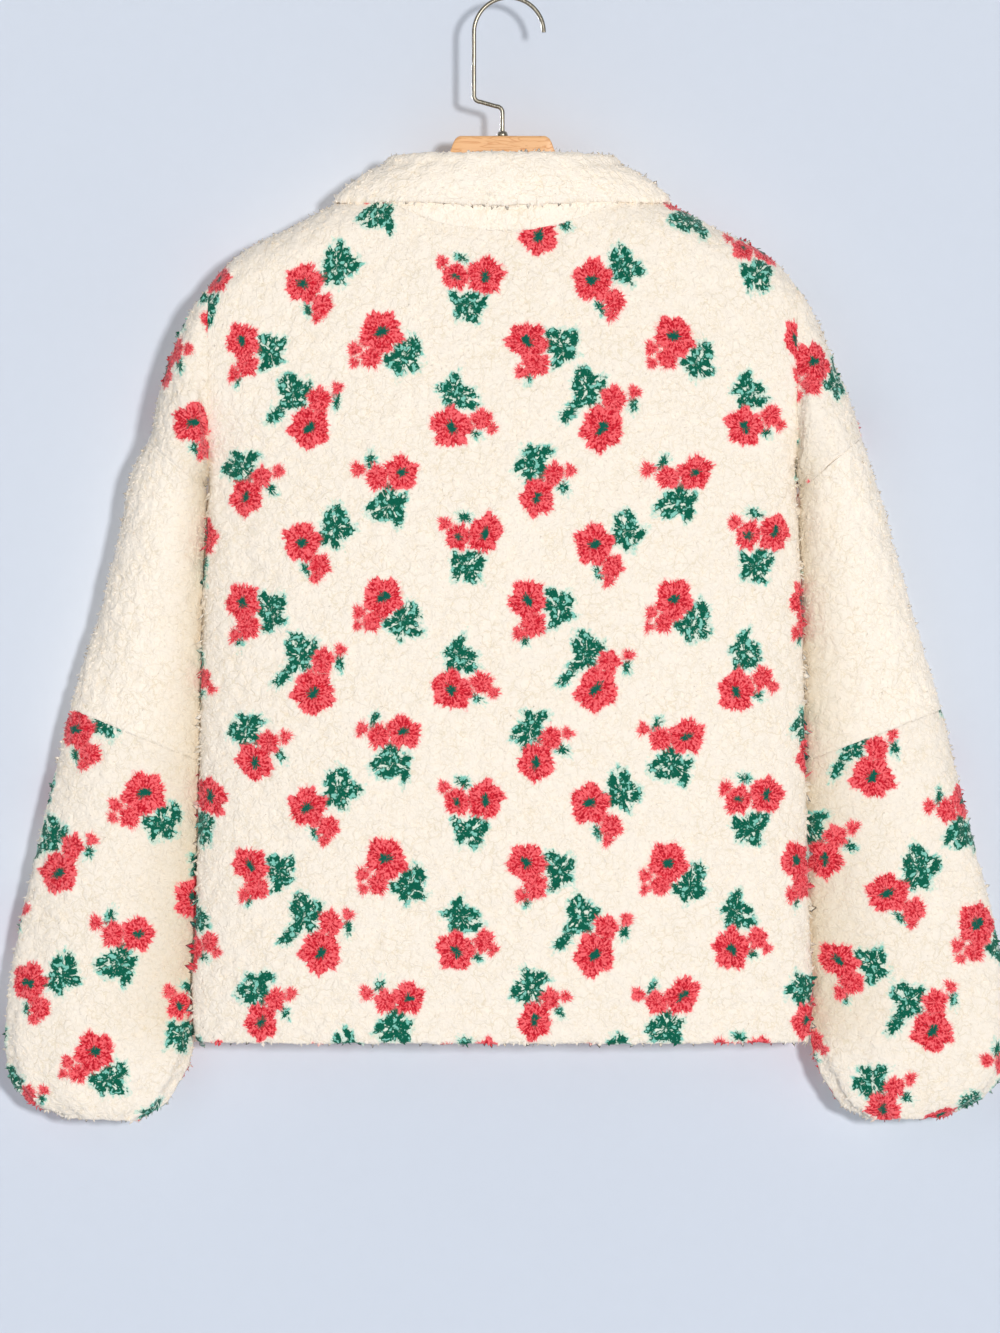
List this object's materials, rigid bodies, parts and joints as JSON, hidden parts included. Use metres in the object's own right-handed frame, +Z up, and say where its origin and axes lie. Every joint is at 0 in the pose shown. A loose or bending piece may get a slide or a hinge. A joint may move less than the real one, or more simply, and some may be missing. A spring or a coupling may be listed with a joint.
{
  "type": "button collar sweatshirt on a wooden hanger",
  "caption": "Teddy-fleece pullover with a turn-down collar, half placket and gathered balloon sleeves, hung flat on a wooden hanger with a wire hook.",
  "frame": {"origin": "inside of the hook's crown, where a rail carries the hanger", "axes": "+Z up, away from the hem; +Y out of the garment's back; +X towards the garment's left side as its back is seen in the picture"},
  "size_m": [0.7908, 0.09, 0.8795],
  "materials": {
    "printed_fleece": "cream teddy fleece with a small red and green floral print",
    "cream_fleece": "plain cream teddy fleece",
    "button_plastic": "satin, horn-like",
    "beech_wood": "satin varnish",
    "hook_steel": "drawn wire, nickelled"
  },
  "bodies": {
    "root": {"back": "printed_fleece", "button_1": "button_plastic", "button_2": "button_plastic", "button_3": "button_plastic", "button_4": "button_plastic", "collar": "cream_fleece", "front": "printed_fleece", "hanger_bar": "beech_wood", "hanger_ferrule": "hook_steel", "hanger_hook": "hook_steel", "placket": "cream_fleece", "sleeve_left_lower": "printed_fleece", "sleeve_left_middle": "cream_fleece", "sleeve_left_upper": "printed_fleece", "sleeve_right_lower": "printed_fleece", "sleeve_right_middle": "cream_fleece", "sleeve_right_upper": "printed_fleece"}
  },
  "joints": []
}
